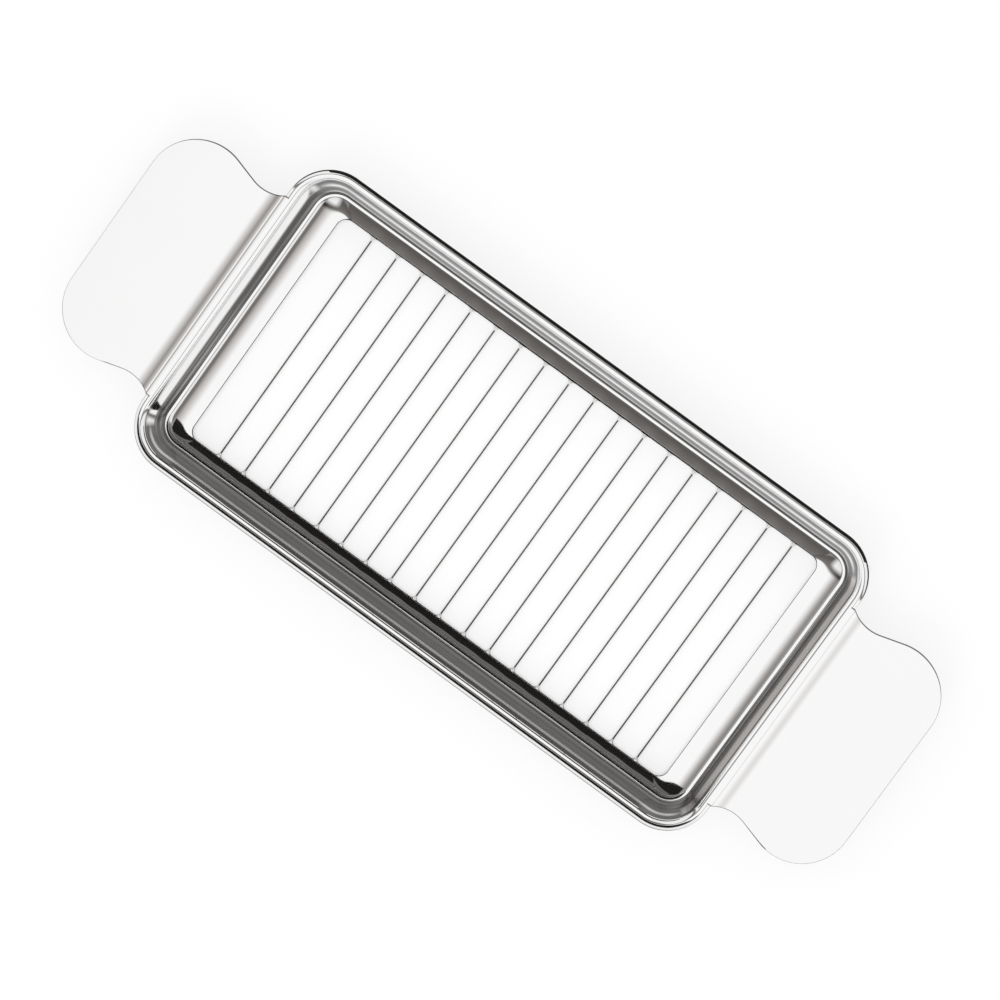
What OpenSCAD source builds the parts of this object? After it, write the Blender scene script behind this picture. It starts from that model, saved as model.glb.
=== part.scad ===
// Wire butter slicer: a shallow drawn tray of thin stainless sheet with an open
// floor, a rolled rim, two flat wing handles, and taut wires across the opening.
// X runs along the slicer, Y along the wires. Z = 0 is the foot that it stands on.

/* [Cutting field] */
// Number of wires
wire_count = 18; // [6:1:24]
// Spacing of the wires, centre to centre
wire_pitch = 7.5; // [6.5:0.1:8]
// Diameter of a wire
wire_d = 0.4; // [0.3:0.05:0.5]
// Mean free width between the last wire and the end of the opening
end_gap = 8.45; // [7.5:0.05:12]
// How far the row of wires sits towards +X from the middle of the opening
field_shift = 0.6; // [0:0.1:1]
// Width of the floor opening, along the wires
opening_w = 66.8; // [50:0.1:90]
// Corner radius of the floor opening
opening_r = 2.7; // [1:0.1:4]

/* [Tray] */
// Thickness of the sheet
sheet = 0.5; // [0.4:0.05:0.6]
// Width of the floor beside the opening on the long sides, to the foot line
side_floor = 3.7; // [3.3:0.1:5]
// Width of the floor beyond the opening at the short ends, to the foot line
end_floor = 6.85; // [6:0.05:12]
// Corner radius of the foot line
corner_r = 5.6; // [5.4:0.1:9]
// Height of the rim above the foot
rim_h = 10.5; // [8:0.1:14]
// Slope of the wall from the floor, in degrees
wall_angle = 72; // [66:1:80]
// Width of the flat foot line
foot_w = 0.5; // [0.3:0.1:0.8]
// Inside radius of the foot groove
groove_r = 0.6; // [0.4:0.1:0.9]
// Steepest slope of the floor beside the groove, in degrees
floor_angle = 12; // [8:1:14]
// Radius of the long curve that brings the floor level
floor_curve_r = 22; // [16:1:22]

/* [Rim] */
// Outer radius of the turn from the wall to the rim
rim_turn_r = 1.5; // [1.2:0.1:2]
// Flat land between that turn and the rolled edge
rim_land = 0.3; // [0.1:0.1:0.8]
// Outer radius of the rolled edge
roll_r = 1.1; // [0.9:0.05:1.2]
// How far the rolled edge turns, in degrees
roll_turn = 225; // [150:5:225]

/* [Wing handles] */
// Length of a wing handle, from the outer edge of the rim
wing_l = 31.5; // [28:0.5:45]
// Widest width of a wing handle
wing_w = 61.4; // [50:0.1:64]
// Width of the neck of a wing handle
neck_w = 56; // [44:0.1:58]
// Distance of the neck from the outer edge of the rim
neck_at = 5.8; // [5:0.1:8]
// Radius of the outer corners of a wing handle
lobe_r = 13.2; // [9:0.1:15]
// Radius of the hollow sides of the neck
neck_r = 9.8; // [7:0.1:11]
// How far the handle steps down below the rim
wing_step = 0.35; // [0.2:0.05:0.6]
// Distance of the step from the outer edge of the rim
step_at = 1.0; // [0.6:0.1:1.6]

/* [Wire joints] */
// Length of each wire end seated under the floor
seat_l = 1.6; // [1:0.1:2]
// Radial clearance of a wire in its seat
seat_clear = 0.02; // [0.01:0.01:0.04]
// Radius of the fillet where a wire leaves the floor
joint_r = 1.1; // [0.7:0.1:1.5]

/* [Hidden] */
eps = 0.01;
arc_fn = 96;

// Plan sizes: half lengths and half widths
open_x = (wire_count - 1) * wire_pitch / 2 + end_gap + wire_d / 2;
open_y = opening_w / 2;
foot_x = open_x + end_floor;
foot_y = open_y + side_floor;
centre_x = foot_x - corner_r;
centre_y = foot_y - corner_r;

// Profile across the sheet's upper face, outwards from the foot line
groove_top = sheet;
half_foot = foot_w / 2;
slope_x = half_foot + groove_r * sin(floor_angle);
slope_z = groove_top + groove_r * (1 - cos(floor_angle));
level_x = slope_x + floor_curve_r * sin(floor_angle);
level_z = slope_z + floor_curve_r * (1 - cos(floor_angle));
wall_x0 = half_foot + groove_r * sin(wall_angle);
wall_z0 = groove_top + groove_r * (1 - cos(wall_angle));
turn_z = rim_h - rim_turn_r;
wall_z1 = turn_z + rim_turn_r * cos(wall_angle);
wall_x1 = wall_x0 + (wall_z1 - wall_z0) / tan(wall_angle);
turn_x = wall_x1 + rim_turn_r * sin(wall_angle);
roll_x = turn_x + rim_land;
roll_z = rim_h - roll_r;
rim_out = roll_x + roll_r;
floor_in = min(level_x + 0.1, corner_r - 0.2);

// Height of the floor's upper face at the long edges of the opening
edge_angle = asin(max(0, level_x - side_floor) / floor_curve_r);
edge_z = level_z - floor_curve_r * (1 - cos(edge_angle));
wire_z = edge_z - sheet;

// Wing handle in plan, measured from the middle of the slicer
rim_x = foot_x + rim_out;
tip_x = rim_x + wing_l;
lobe_x = tip_x - lobe_r;
lobe_y = wing_w / 2 - lobe_r;
neck_x = rim_x + neck_at;
neck_y = neck_w / 2 + neck_r;
neck_gap = norm([lobe_x - neck_x, neck_y - lobe_y]);
side_turn = atan2(neck_y - lobe_y, lobe_x - neck_x) + acos((lobe_r + neck_r) / neck_gap);
root_y = neck_y - sqrt(max(0, pow(neck_r, 2) - pow(min(neck_at, neck_r), 2)));
wing_z = rim_h - wing_step;
bend_angle = 15;

// Points of an arc about c, from angle a0 to a1
function arc(c, r, a0, a1, steps) =
    [for (k = [0:steps]) let (a = a0 + (a1 - a0) * k / steps)
        [c[0] + r * cos(a), c[1] + r * sin(a)]];

function flip(points) = [for (k = [len(points) - 1:-1:0]) points[k]];

// Middle line of the sheet moved by d towards its upper side, floor to rim
function sheet_line(d) = concat(
    [[-floor_in, level_z - sheet + d]],
    arc([-level_x, level_z - floor_curve_r], floor_curve_r - sheet + d, 90, 90 - floor_angle, 10),
    arc([-half_foot, groove_top + groove_r], groove_r + sheet - d, 270 - floor_angle, 270, 4),
    arc([half_foot, groove_top + groove_r], groove_r + sheet - d, 270, 270 + wall_angle, 10),
    arc([turn_x, turn_z], rim_turn_r - sheet + d, 90 + wall_angle, 90, 10),
    [[roll_x, rim_h - sheet + d]]
);

// Cross-section of the tray's sheet
module tray_section() {
    polygon(concat(sheet_line(sheet), flip(sheet_line(0))));
}

// Cross-section of the rolled edge
module roll_section() {
    polygon(concat(
        [[roll_x - eps, rim_h]],
        arc([roll_x, roll_z], roll_r, 90, 90 - roll_turn, 24),
        arc([roll_x, roll_z], roll_r - sheet, 90 - roll_turn, 90, 24),
        [[roll_x - eps, rim_h - sheet]]
    ));
}

// Carries a cross-section straight from a to b along +X, with its outside to -Y
module run(a, b) {
    translate([a, 0, 0])
        rotate([90, 0, 90])
            linear_extrude(height = b - a)
                children();
}

// Carries a cross-section round the whole tray, level with the foot line
module around_tray() {
    for (s = [0, 180])
        rotate([0, 0, s]) {
            translate([0, foot_y, 0]) run(-centre_x, centre_x) children();
            translate([foot_x, 0, 0]) rotate([0, 0, -90]) run(-centre_y, centre_y) children();
            corner(centre_x, centre_y) children();
            mirror([1, 0, 0]) corner(centre_x, centre_y) children();
        }
}

// Turns a cross-section a quarter round one corner
module corner(x, y) {
    translate([x, y, 0])
        rotate_extrude(angle = 90, $fn = arc_fn)
            translate([corner_r, 0])
                children();
}

// The rolled edge: both long sides and the four corners, up to the wing roots
module rolled_edge() {
    for (s = [0, 180])
        rotate([0, 0, s]) {
            translate([0, foot_y, 0]) run(-centre_x, centre_x) roll_section();
            corner(centre_x, centre_y) roll_section();
            mirror([1, 0, 0]) corner(centre_x, centre_y) roll_section();
            for (t = [-1, 1])
                translate([foot_x, 0, 0])
                    rotate([0, 0, -90])
                        run(t > 0 ? root_y - eps : -centre_y, t > 0 ? centre_y : -root_y + eps)
                            roll_section();
        }
}

// Plan of one wing handle, on the +X side
module wing_plan() {
    side = [lobe_x + lobe_r * cos(180 - side_turn), lobe_y + lobe_r * sin(side_turn)];
    root = [neck_x + neck_r * cos(side_turn), neck_y - neck_r * sin(side_turn)];
    difference() {
        union() {
            translate([foot_x + turn_x, -lobe_y]) square([tip_x - foot_x - turn_x, 2 * lobe_y]);
            for (m = [-1, 1])
                translate([lobe_x, m * lobe_y]) circle(r = lobe_r, $fn = arc_fn);
            for (m = [0, 1])
                mirror([0, m])
                    polygon([[foot_x + turn_x, 0], [foot_x + turn_x, root_y], [rim_x, root_y],
                        [neck_x, neck_y], root, side, [lobe_x, lobe_y], [lobe_x, 0]]);
        }
        for (m = [-1, 1])
            translate([neck_x, m * neck_y]) circle(r = neck_r, $fn = arc_fn);
    }
}

// A wing handle: a level sheet that steps down once beside the rim
module wing() {
    bend_r = wing_step / 2 / (1 - cos(bend_angle));
    first_x = rim_x + step_at;
    last_x = first_x + 2 * bend_r * sin(bend_angle);
    top = concat(
        [[foot_x + turn_x, rim_h]],
        arc([first_x, rim_h - bend_r], bend_r, 90, 90 - bend_angle, 6),
        arc([last_x, wing_z + bend_r], bend_r, 270 - bend_angle, 270, 6),
        [[tip_x + 1, wing_z]]
    );
    bottom = concat(
        [[foot_x + turn_x, rim_h - sheet]],
        arc([first_x, rim_h - bend_r], bend_r - sheet, 90, 90 - bend_angle, 6),
        arc([last_x, wing_z + bend_r], bend_r + sheet, 270 - bend_angle, 270, 6),
        [[tip_x + 1, wing_z - sheet]]
    );
    intersection() {
        rotate([90, 0, 0])
            linear_extrude(height = 2 * wing_w, center = true)
                polygon(concat(top, flip(bottom)));
        translate([0, 0, rim_h - 2]) linear_extrude(height = 3) wing_plan();
    }
}

// Prism of the floor opening
module opening() {
    translate([0, 0, -1])
        linear_extrude(height = level_z + 2) {
            square([2 * open_x, 2 * (open_y - opening_r)], center = true);
            square([2 * (open_x - opening_r), 2 * open_y], center = true);
            for (x = [-1, 1], y = [-1, 1])
                translate([x * (open_x - opening_r), y * (open_y - opening_r)])
                    circle(r = opening_r, $fn = arc_fn);
        }
}

function wire_x(i) = (i - (wire_count - 1) / 2) * wire_pitch + field_shift;

// A bar along Y at the place of wire i
module wire_bar(i, r, half_l) {
    translate([wire_x(i), half_l, wire_z])
        rotate([90, 0, 0])
            cylinder(r = r, h = 2 * half_l, $fn = 32);
}

module frame() {
    color([0.78, 0.78, 0.77])
        difference() {
            union() {
                around_tray() tray_section();
                translate([-foot_x + floor_in - eps, -foot_y + floor_in - eps, level_z - sheet])
                    cube([2 * (foot_x - floor_in + eps), 2 * (foot_y - floor_in + eps), sheet]);
                rolled_edge();
                wing();
                mirror([1, 0, 0]) wing();
            }
            opening();
            for (i = [0:wire_count - 1])
                wire_bar(i, wire_d / 2 + seat_clear, open_y + seat_l + seat_clear);
        }
}

// One taut wire, with both ends in their seats under the floor
module wire(i) {
    color([0.62, 0.62, 0.61]) wire_bar(i, wire_d / 2, open_y + seat_l);
}

// The bright metal at one side that joins each wire to the edge of the floor
module wire_joints(side) {
    half = wire_d / 2 + joint_r;
    color([0.85, 0.85, 0.84])
        for (i = [0:wire_count - 1])
            difference() {
                translate([wire_x(i), side * open_y, wire_z])
                    linear_extrude(height = 0.8 * sheet)
                        scale([1, -side])
                            difference() {
                                translate([-half, 0]) square([2 * half, joint_r]);
                                for (m = [-1, 1])
                                    translate([m * half, joint_r]) circle(r = joint_r, $fn = 48);
                            }
                wire_bar(i, wire_d / 2, open_y + seat_l);
            }
}

frame();
for (i = [1:wire_count])
    wire(i - 1);
wire_joints(-1);  // wire_joints_front
wire_joints(1);  // wire_joints_back
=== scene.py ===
"""Dresses the wire butter slicer: its pressed sheet, rolled edge, wires and wire joints.

All sizes are in metres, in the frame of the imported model: X along the slicer, Y along
the wires, Z up from the foot groove that it stands on.
"""
import logging
import math
from dataclasses import dataclass, replace
from enum import Enum

import bmesh
import bpy
from mathutils import Matrix, Vector

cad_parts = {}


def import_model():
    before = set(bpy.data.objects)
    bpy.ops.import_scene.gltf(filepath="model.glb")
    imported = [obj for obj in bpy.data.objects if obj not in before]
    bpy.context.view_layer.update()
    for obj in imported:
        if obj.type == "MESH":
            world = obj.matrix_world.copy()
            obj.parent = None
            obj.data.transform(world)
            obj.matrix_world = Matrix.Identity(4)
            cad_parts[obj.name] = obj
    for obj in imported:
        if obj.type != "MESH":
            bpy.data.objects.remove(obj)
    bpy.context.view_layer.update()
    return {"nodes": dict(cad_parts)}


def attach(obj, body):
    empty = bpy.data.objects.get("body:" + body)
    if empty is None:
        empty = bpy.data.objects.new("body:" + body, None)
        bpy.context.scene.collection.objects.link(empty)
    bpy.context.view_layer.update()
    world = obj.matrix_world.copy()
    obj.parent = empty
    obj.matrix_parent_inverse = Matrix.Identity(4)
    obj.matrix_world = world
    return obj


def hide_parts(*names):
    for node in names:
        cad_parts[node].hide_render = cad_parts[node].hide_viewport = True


log = logging.getLogger("butter_slicer")

MM = 0.001
PHOTO_PIXELS = 1000.0
ROOT = "root"
RIM_HEIGHT = 10.5 * MM
WELD = 0.002 * MM
NUDGE = 0.01 * MM

# How much warmer a grey gets as it darkens, and the tint of a dark card
WARMTH = 0.12
CARD_TINT = (1.0, 0.93, 0.88)

Point2 = tuple[float, float]
Point3 = tuple[float, float, float]
Colour = tuple[float, float, float]
Socket = bpy.types.NodeSocket
Given = float | tuple[float, ...] | bpy.types.ID | Socket
Station = tuple[Vector, Vector, Vector]

# Painted dark reflections: how dark the walls are painted, by height in millimetres
BACK_PAINTED_BANDS: list[Point2] = [
    (0, 1.0), (1.6, 0.75), (2.2, 0.35), (3.0, 1.0), (5.2, 1.0), (5.9, 0.3), (6.6, 0.05), (7.4, 0.5),
    (8.4, 1.0), (9.6, 1.0), (10.5, 0.0)]
END_PAINTED_BANDS: list[Point2] = [
    (0, 1.0), (4.6, 1.0), (5.8, 0.0), (8.4, 0.0), (9.2, 0.5), (9.8, 0.0), (10.5, 0.0)]

# Painted highlights: how strong the light lines painted on the walls are, by height in millimetres
END_PAINTED_HIGHLIGHT: list[Point2] = [(0, 0.0), (4.6, 0.0), (5.8, 1.0), (8.2, 1.0), (9.0, 0.0), (10.5, 0.0)]
FRONT_PAINTED_HIGHLIGHT: list[Point2] = [(0, 0.0), (6.2, 0.0), (6.9, 0.85), (7.3, 0.85), (8.0, 0.0), (10.5, 0.0)]

# How bright the room is in reflections, by degrees from straight up towards +Y and +X
ACROSS_TONES: list[Point2] = [
    (-88, 0.9), (-83, 0.9), (-79, 0.3), (-75, 0.95), (-3, 1.0), (0, 0.20), (8, 0.15), (17, 0.10),
    (22, 0.5), (28, 1.0), (76, 1.0), (82, 0.3), (88, 0.05)]
ALONG_TONES: list[Point2] = [
    (-88, 1.0), (-46, 1.0), (-33, 0.35), (-24, 0.16), (-20, 0.46), (-15, 0.7), (-10, 0.95), (-8, 1.0),
    (10, 1.0), (14, 0.8), (19, 0.4), (23, 0.22), (27, 1.0), (88, 1.0)]

# Painted shade on the floor as mirrors see it: how bright the floor is in reflections, dark under the walls
# and beyond the +Y side, by its place along Y in millimetres
GROUND_PAINTED_SHADE: list[Point2] = [
    (-120, 1.0), (-62, 1.0), (-56, 0.05), (-31, 0.05), (-26, 0.9), (30, 0.9), (36, 0.2), (44, 0.03),
    (120, 0.03)]


class Polish(Enum):
    """How the surface of a metal was worked, as the direction of its fine lines."""

    ROUND_THE_TRAY = (25.0, 25.0, 1300.0)
    ALONG_THE_WIRE = (900.0, 60.0, 900.0)
    EVEN = (400.0, 400.0, 400.0)


@dataclass
class Wiring:
    """A node tree while it is put together.

    Attributes:
        tree: the tree.
    """

    tree: bpy.types.NodeTree

    def feed(self, node: bpy.types.Node, given: dict[str | int, Given]) -> None:
        """Sets or links inputs of a node.

        Args:
            node: the node.
            given: a value or a socket for each input.
        """
        for name, value in given.items():
            socket = node.inputs[name]
            if isinstance(value, Socket):
                self.tree.links.new(value, socket)
            elif socket.type == "RGBA":
                socket.default_value = (*value, 1.0)
            else:
                socket.default_value = value

    def add(self, kind: str, given: dict[str | int, Given] | None = None, **settings: str) -> bpy.types.Node:
        """Adds a node.

        Args:
            kind: its type.
            given: a value or a socket for each of its inputs that isn't left as it is.
            settings: its other settings.

        Returns:
            The node.
        """
        made = self.tree.nodes.new(kind)
        for name, value in settings.items():
            setattr(made, name, value)
        self.feed(made, given or {})
        return made

    def maths(self, operation: str, *given: float | Socket) -> Socket:
        """The result of an operation on the given values."""
        return self.add("ShaderNodeMath", dict(enumerate(given)), operation=operation).outputs["Value"]

    def fade(self, value: Socket, near: float, far: float) -> Socket:
        """A value that grows from 0 to 1 while the given one goes from near to far."""
        span = {"Value": value, "From Min": near, "From Max": far}
        return self.add("ShaderNodeMapRange", span).outputs["Result"]

    def split(self, vector: Socket) -> bpy.types.NodeOutputs:
        """The outputs X, Y and Z that hold the parts of a vector."""
        return self.add("ShaderNodeSeparateXYZ", {"Vector": vector}).outputs

    def blend(self, share: Socket, one: Colour | Socket, two: Colour | Socket) -> Socket:
        """One colour mixed with a share of the other."""
        given = {"Factor": share, "A": one, "B": two}
        return self.add("ShaderNodeMix", given, data_type="RGBA").outputs["Result"]

    def grey(self, place: Socket, tones: list[Point2], half_range: float) -> Socket:
        """A grey that depends on a place between 0 and 1.

        Args:
            place: the place, 0.5 in the middle.
            tones: distances from the middle in rising order, each with its grey.
            half_range: the distance that stands for 0.5.

        Returns:
            The grey, a little warmer where it is dark.
        """
        made = self.add("ShaderNodeValToRGB", {"Fac": place})
        stops = made.color_ramp.elements
        while len(stops) > 1:
            stops.remove(stops[-1])
        stops[0].position = tones[0][0] / half_range / 2 + 0.5
        for k, (distance, grey) in enumerate(tones):
            stop = stops.new(distance / half_range / 2 + 0.5) if k else stops[0]
            warm = WARMTH * (1 - grey)
            stop.color = (grey, grey * (1 - 0.6 * warm), grey * (1 - warm), 1.0)
        return made.outputs["Color"]

    def for_mirrors(self, plain: Socket, mirrored: Socket) -> Socket:
        """A shader that mirrors see as one and all else as the other."""
        glossy = self.add("ShaderNodeLightPath").outputs["Is Glossy Ray"]
        return self.add("ShaderNodeMixShader", {"Fac": glossy, 1: plain, 2: mirrored}).outputs["Shader"]

    def end_growth(self, shape: Socket, metal: bpy.types.Material) -> None:
        """Ends a Geometry Nodes tree with real instances and a material.

        Args:
            shape: what the tree has made.
            metal: its material.
        """
        real = self.add("GeometryNodeRealizeInstances", {"Geometry": shape}).outputs["Geometry"]
        dress = self.add("GeometryNodeSetMaterial", {"Geometry": real, "Material": metal})
        self.add("NodeGroupOutput", {"Geometry": dress.outputs["Geometry"]})


def growth_tree(name: str, inputs: dict[str, str]) -> tuple[Wiring, bpy.types.NodeOutputs]:
    """Starts a Geometry Nodes tree.

    Args:
        name: name of the tree.
        inputs: names of its inputs besides Geometry, each with its socket type.

    Returns:
        The tree's wiring, and the outputs that hold its inputs.
    """
    tree = bpy.data.node_groups.new(name, "GeometryNodeTree")
    for label, kind in {"Geometry": "NodeSocketGeometry", **inputs}.items():
        tree.interface.new_socket(label, in_out="INPUT", socket_type=kind)
    tree.interface.new_socket("Geometry", in_out="OUTPUT", socket_type="NodeSocketGeometry")
    wiring = Wiring(tree)
    return wiring, wiring.add("NodeGroupInput").outputs


def bare_material(name: str) -> tuple[bpy.types.Material, Wiring]:
    """A new material without any node.

    Args:
        name: name of the material.

    Returns:
        The material and its wiring.
    """
    made = bpy.data.materials.new(name)
    made.use_nodes = True
    made.node_tree.nodes.clear()
    return made, Wiring(made.node_tree)


@dataclass(frozen=True)
class WallPaintedReflections:
    """Paints shade, dark reflections and highlight lines into a bright sheet's colour where it was pressed
    into walls and a foot groove, and dulls it there.

    A wall is told from the way its face points and from its height. A pair of numbers gives
    the part of the face's normal, or the height, where a mark begins and where it is full.

    Attributes:
        strength: how much of the bright metal the painted shade hides, 0 to 1.
        steep: the normal's Z on a wall.
        back_steep: the normal's Z on the wall at +Y, whose upper turn is painted dark too.
        back: the normal's Y on that wall.
        back_upright: the normal's Y where that wall has its bands.
        front: the normal's Y on the wall at -Y.
        end: the normal's X on the walls at the ends.
        turn: the normal's Z in the foot groove, whose sides are painted dark too.
        floor_turn: the groove's height on the floor's side.
        wall_turn: its height on the wall's side.
        streak_range: where the fine lines change from dark to light.
        dark_streak: colour of the dark fine lines; the lines are the metal's own, their darkness painted
            reflection.
        light_streak: colour of the light fine lines, a painted reflection on the metal's own lines.
        deep: colour of the shaded metal of the long walls.
        deep_share: how much of it there is.
        lit: colour of the painted highlight lines along the walls.
        dulling: how much rougher the metal is where the walls are painted dark.
    """

    strength: float = 0.88
    steep: Point2 = (0.52, 0.36)
    back_steep: Point2 = (0.74, 0.62)
    back: Point2 = (-0.5, -0.65)
    back_upright: Point2 = (-0.5, -0.8)
    front: Point2 = (0.45, 0.75)
    end: Point2 = (0.78, 0.86)
    turn: Point2 = (0.985, 0.955)
    floor_turn: Point2 = (0.9 * MM, 0.4 * MM)
    wall_turn: Point2 = (2.2 * MM, 1.4 * MM)
    streak_range: Point2 = (0.48, 0.72)
    dark_streak: Colour = (0.03, 0.027, 0.025)
    light_streak: Colour = (0.40, 0.385, 0.37)
    deep: Colour = (0.035, 0.032, 0.030)
    deep_share: float = 0.75
    lit: Colour = (0.75, 0.72, 0.70)
    dulling: float = 0.25

    def marks(self, wiring: Wiring) -> tuple[Socket, Socket, Socket]:
        """Finds where the painted shade and highlight lines go on the walls.

        Args:
            wiring: the material's wiring.

        Returns:
            How strongly the metal is painted dark, whether it is part of a long wall, and the painted
            highlight lines.
        """
        normal = wiring.add("ShaderNodeNewGeometry").outputs["Normal"]
        place = wiring.add("ShaderNodeTexCoord").outputs["Object"]
        facing, height = wiring.split(normal), wiring.split(place)["Z"]
        level = wiring.maths("MULTIPLY_ADD", height, 0.5 / RIM_HEIGHT, 0.5)
        outwards = wiring.add("ShaderNodeVectorMath", {0: normal, 1: place}, operation="DOT_PRODUCT")
        top = RIM_HEIGHT / MM
        back = wiring.fade(facing["Y"], *self.back)
        front = wiring.fade(facing["Y"], *self.front)
        far_end = wiring.fade(facing["X"], -self.end[0], -self.end[1])
        steep = wiring.maths("MAXIMUM", wiring.fade(facing["Z"], *self.steep),
                             wiring.maths("MULTIPLY", back, wiring.fade(facing["Z"], *self.back_steep)))
        for axis, span, tones in (("Y", self.back_upright, BACK_PAINTED_BANDS), ("X", self.end, END_PAINTED_BANDS)):
            bands = wiring.add("ShaderNodeMix", {
                "Factor": wiring.fade(facing[axis], *span), "A": 1.0, "B": wiring.grey(level, tones, top)})
            steep = wiring.maths("MULTIPLY", steep, bands.outputs["Result"])
        on_wall = wiring.maths("LESS_THAN", outwards.outputs["Value"], 0.0)
        low = wiring.maths("MAXIMUM", wiring.fade(height, *self.floor_turn),
                           wiring.maths("MULTIPLY", on_wall, wiring.fade(height, *self.wall_turn)))
        turn = wiring.maths("MULTIPLY", low, wiring.fade(facing["Z"], *self.turn))
        # Painted shade: the walls and the groove's sides get a dark colour for the dark room they reflect.
        drawn = wiring.maths("MULTIPLY", wiring.maths("MAXIMUM", steep, turn), self.strength)
        # Painted highlights: light lines across the walls, by height.
        line = wiring.maths("MULTIPLY", front, wiring.grey(level, FRONT_PAINTED_HIGHLIGHT, top))
        end_line = wiring.maths("MULTIPLY", far_end, wiring.grey(level, END_PAINTED_HIGHLIGHT, top))
        return drawn, wiring.maths("MAXIMUM", front, back), wiring.maths("MAXIMUM", line, end_line)

    def apply(self, wiring: Wiring, tone: Socket, roughness: Socket, lines: Socket) -> tuple[Socket, Socket]:
        """Paints shade and highlight lines into a metal's colour on the walls, and roughens it there.

        Args:
            wiring: the material's wiring.
            tone: colour of the bright metal.
            roughness: its roughness.
            lines: its fine lines.

        Returns:
            The new colour and roughness.
        """
        drawn, long_wall, light = self.marks(wiring)
        # The walls' colour: the metal's own fine lines coloured as painted dark reflections, painted shade
        # on the long walls, and painted highlight lines on top.
        streaks = wiring.add("ShaderNodeValToRGB", {"Fac": lines})
        colours = (self.dark_streak, self.light_streak)
        for stop, at, colour in zip(streaks.color_ramp.elements, self.streak_range, colours):
            stop.position, stop.color = at, (*colour, 1.0)
        depth = wiring.maths("MULTIPLY", long_wall, self.deep_share)
        shaded = wiring.blend(depth, streaks.outputs["Color"], self.deep)
        dark = wiring.blend(light, shaded, self.lit)
        return wiring.blend(drawn, tone, dark), wiring.maths("MULTIPLY_ADD", drawn, self.dulling, roughness)


@dataclass(frozen=True)
class MetalFinish:
    """A bright metal with a slight change of tone, haze and fine lines over its surface.

    Attributes:
        name: name of the material.
        tone: colour of the clean metal.
        shade: colour of its duller patches.
        clean: roughness of the best polished places.
        hazy: roughness of the dullest places.
        lines: direction of the fine lines.
        line_depth: strength of their relief.
        walls: the painted shade and highlights where the metal was pressed into walls, if it was.
        patches: how many duller patches there are to a metre.
        haze_range: where the fine lines change from clean to hazy.
        relief: height of the fine lines.
    """

    name: str
    tone: Colour
    shade: Colour
    clean: float
    hazy: float
    lines: Polish
    line_depth: float
    walls: WallPaintedReflections | None = None
    patches: float = 45.0
    haze_range: Point2 = (0.35, 0.7)
    relief: float = 0.02 * MM

    def material(self) -> bpy.types.Material:
        """Builds the node material.

        Returns:
            The new material.
        """
        made = bpy.data.materials.new(self.name)
        made.use_nodes = True
        wiring = Wiring(made.node_tree)
        place = wiring.add("ShaderNodeTexCoord").outputs["Object"]
        patches = wiring.add("ShaderNodeTexNoise", {"Vector": place, "Scale": self.patches, "Detail": 4.0})
        tone = wiring.blend(patches.outputs["Fac"], self.tone, self.shade)
        stretch = wiring.add("ShaderNodeMapping", {"Vector": place, "Scale": self.lines.value})
        given = {"Vector": stretch.outputs["Vector"], "Scale": 1.0, "Detail": 3.0}
        lines = wiring.add("ShaderNodeTexNoise", given).outputs["Fac"]
        given = {"Value": lines, "From Min": self.haze_range[0], "From Max": self.haze_range[1],
                 "To Min": self.clean, "To Max": self.hazy}
        roughness = wiring.add("ShaderNodeMapRange", given).outputs["Result"]
        if self.walls:
            tone, roughness = self.walls.apply(wiring, tone, roughness, lines)
        bump = wiring.add("ShaderNodeBump", {
            "Strength": self.line_depth, "Distance": self.relief, "Height": lines})
        wiring.feed(made.node_tree.nodes["Principled BSDF"], {
            "Metallic": 1.0, "Base Color": tone, "Roughness": roughness, "Normal": bump.outputs["Normal"]})
        return made


# The sheet carries painted shade and highlights on its walls.
MIRROR_SHEET = MetalFinish(
    "mirror_sheet", (0.945, 0.943, 0.945), (0.925, 0.922, 0.92), 0.03, 0.07, Polish.ROUND_THE_TRAY, 0.10,
    WallPaintedReflections())
# Cut edges: rougher metal, with a near-black colour that is painted shade.
EDGE_METAL_PAINTED_DARK = MetalFinish(
    "cut_edge_painted_dark", (0.040, 0.037, 0.035), (0.022, 0.020, 0.019), 0.30, 0.45, Polish.EVEN, 0.05)
# Wire: fine lines along its length; its dark tone is painted shade for the dark room it reflects.
WIRE_PAINTED_DARK = MetalFinish(
    "drawn_wire", (0.22, 0.21, 0.195), (0.12, 0.115, 0.105), 0.22, 0.36, Polish.ALONG_THE_WIRE, 0.3)
FUSED_METAL = MetalFinish(
    "fused_metal", (0.86, 0.86, 0.85), (0.78, 0.78, 0.77), 0.10, 0.22, Polish.EVEN, 0.2)


def arc(centre: Point2, radius: float, start: float, end: float, steps: int) -> list[Point2]:
    """Points of an arc.

    Args:
        centre: its centre.
        radius: its radius.
        start: first angle, in degrees.
        end: last angle, in degrees.
        steps: number of equal steps between them.

    Returns:
        steps + 1 points.
    """
    angles = (math.radians(start + (end - start) * k / steps) for k in range(steps + 1))
    return [(centre[0] + radius * math.cos(a), centre[1] + radius * math.sin(a)) for a in angles]


def placed(name: str, data: bpy.types.ID) -> bpy.types.Object:
    """Puts a new object in the scene at the origin.

    Args:
        name: its name.
        data: its mesh, curve, light or camera.

    Returns:
        The object.
    """
    made = bpy.data.objects.new(name, data)
    bpy.context.scene.collection.objects.link(made)
    return made


def weld(mesh: bmesh.types.BMesh) -> None:
    """Joins points that lie together and turns the faces outwards."""
    bmesh.ops.remove_doubles(mesh, verts=mesh.verts, dist=WELD)
    bmesh.ops.recalc_face_normals(mesh, faces=mesh.faces)


def object_from(mesh: bmesh.types.BMesh, name: str) -> bpy.types.Object:
    """Welds a mesh and puts it in the scene.

    Args:
        mesh: the mesh, which is freed.
        name: name of the new object.

    Returns:
        The object.
    """
    weld(mesh)
    data = bpy.data.meshes.new(name)
    mesh.to_mesh(data)
    mesh.free()
    return placed(name, data)


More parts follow.
